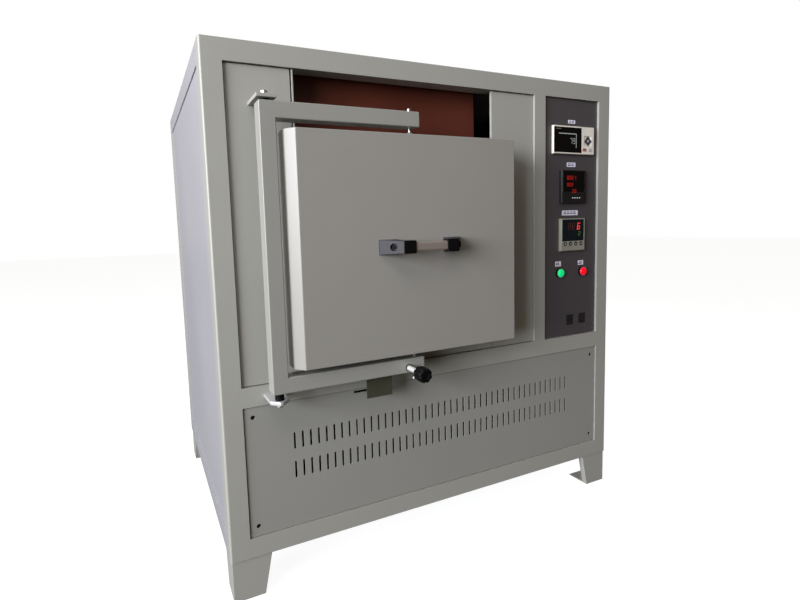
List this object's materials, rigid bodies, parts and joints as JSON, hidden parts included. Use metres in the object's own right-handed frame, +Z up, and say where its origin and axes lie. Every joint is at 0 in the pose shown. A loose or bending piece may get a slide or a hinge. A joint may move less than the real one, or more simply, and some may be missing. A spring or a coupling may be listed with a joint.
{
  "type": "muffle furnace",
  "caption": "Floor-standing box furnace: welded cabinet on folded feet, fibre-lined chamber, door hung in a swinging C-arm, vented base and an instrument column.",
  "frame": {"origin": "centre of the overall bounding box at floor level", "axes": "+Z up, -Y out of the front, +X to the right as seen from the front"},
  "size_m": [1.185, 1.093, 1.245],
  "materials": {
    "grey_paint": "satin warm grey enamel",
    "red_oxide": "dark red-oxide primer",
    "dark_plate": "semi-gloss dark grey enamel",
    "bright_steel": "zinc plated",
    "chrome": "polished",
    "aluminium": "drawn",
    "fibre": "ceramic fibre board and rope",
    "black_plastic": "moulded",
    "light_case": "moulded light grey",
    "grey_case": "moulded grey",
    "dark_glass": "tinted window",
    "red_key": "gloss",
    "green_key": "gloss",
    "grey_key": "gloss",
    "element": "silicide, dull",
    "iron": "laminated core"
  },
  "bodies": {
    "cabinet": {"front_frame": "grey_paint", "rear_frame": "grey_paint", "long_rails": "grey_paint", "feet": "grey_paint", "left_panel": "grey_paint", "right_panel": "grey_paint", "top_panel": "grey_paint", "rear_panel": "grey_paint", "vent_panel": "grey_paint", "panel_screws": "bright_steel", "floor_tray": "bright_steel", "fascia_left": "grey_paint", "fascia_right": "grey_paint", "bay_trim": "grey_paint", "inner_shell": "red_oxide", "lining_floor": "fibre", "lining_roof": "fibre", "lining_walls": "fibre", "mouth_collar": "fibre", "hearth_plate": "fibre", "heating_elements": "element", "element_clamps": "aluminium", "thermocouple": "fibre", "hinge_brackets": "grey_paint", "hinge_bolts": "bright_steel", "interlock_switch": "black_plastic", "lock_catch": "bright_steel", "control_plate": "dark_plate", "recorder_case": "light_case", "recorder_screen": "dark_glass", "meter_case": "black_plastic", "meter_window": "dark_glass", "meter_keys": "grey_key", "controller_case": "grey_case", "controller_window": "dark_glass", "button_bodies": "black_plastic", "transformer": "iron", "power_controller": "aluminium", "terminal_rail": "black_plastic", "cable_gland": "black_plastic"},
    "arm": {"swing_arm": "grey_paint", "pivot_pins": "bright_steel", "interlock_tab": "bright_steel"},
    "door": {"door_pan": "grey_paint", "door_lining": "fibre", "door_ring": "dark_plate", "door_rope": "fibre", "handle_legs": "black_plastic", "handle_rail": "aluminium"},
    "lock": {"lock_screw": "chrome", "lock_knob": "black_plastic"},
    "green_button_body": {"green_button": "green_key"},
    "red_button_body": {"red_button": "red_key"},
    "recorder_pad_body": {"recorder_pad": "grey_key"},
    "recorder_red_key_body": {"recorder_red_key": "red_key"},
    "recorder_grey_key_body": {"recorder_grey_key": "grey_key"},
    "controller_key_1_body": {"controller_key_1": "black_plastic"},
    "controller_key_2_body": {"controller_key_2": "black_plastic"},
    "controller_key_3_body": {"controller_key_3": "black_plastic"},
    "controller_key_4_body": {"controller_key_4": "black_plastic"}
  },
  "joints": [
    {"name": "arm_swing", "type": "hinge", "parent": "cabinet", "child": "arm", "pos_m": [-0.477, -0.4445, 0.496], "axis": [0, 0, -1], "range_deg": [0, 120]},
    {"name": "door_swivel", "type": "hinge", "parent": "arm", "child": "door", "pos_m": [-0.1405, -0.4445, 0.545], "axis": [0, 0, 1], "range_deg": [0, 120]},
    {"name": "lock_turn", "type": "hinge", "parent": "arm", "child": "lock", "pos_m": [-0.1685, -0.4645, 0.5095], "axis": [0, -1, 0], "continuous": true},
    {"name": "green_button_press", "type": "slide", "parent": "cabinet", "child": "green_button_body", "axis": [0, 1, 0], "range_m": [0, 0.0035], "stiffness_N_per_m": 600, "springref_m": -0.001},
    {"name": "red_button_press", "type": "slide", "parent": "cabinet", "child": "red_button_body", "axis": [0, 1, 0], "range_m": [0, 0.0035], "stiffness_N_per_m": 600, "springref_m": -0.001},
    {"name": "recorder_pad_press", "type": "slide", "parent": "cabinet", "child": "recorder_pad_body", "axis": [0, 1, 0], "range_m": [0, 0.0012], "stiffness_N_per_m": 500, "springref_m": -0.0005},
    {"name": "recorder_red_key_press", "type": "slide", "parent": "cabinet", "child": "recorder_red_key_body", "axis": [0, 1, 0], "range_m": [0, 0.0012], "stiffness_N_per_m": 500, "springref_m": -0.0005},
    {"name": "recorder_grey_key_press", "type": "slide", "parent": "cabinet", "child": "recorder_grey_key_body", "axis": [0, 1, 0], "range_m": [0, 0.0012], "stiffness_N_per_m": 500, "springref_m": -0.0005},
    {"name": "controller_key_1_press", "type": "slide", "parent": "cabinet", "child": "controller_key_1_body", "axis": [0, 1, 0], "range_m": [0, 0.0012], "stiffness_N_per_m": 500, "springref_m": -0.0005},
    {"name": "controller_key_2_press", "type": "slide", "parent": "cabinet", "child": "controller_key_2_body", "axis": [0, 1, 0], "range_m": [0, 0.0012], "stiffness_N_per_m": 500, "springref_m": -0.0005},
    {"name": "controller_key_3_press", "type": "slide", "parent": "cabinet", "child": "controller_key_3_body", "axis": [0, 1, 0], "range_m": [0, 0.0012], "stiffness_N_per_m": 500, "springref_m": -0.0005},
    {"name": "controller_key_4_press", "type": "slide", "parent": "cabinet", "child": "controller_key_4_body", "axis": [0, 1, 0], "range_m": [0, 0.0012], "stiffness_N_per_m": 500, "springref_m": -0.0005}
  ],
  "couplings": [
    {"joint": "door_swivel", "follows": "arm_swing", "ratio": 1}
  ]
}
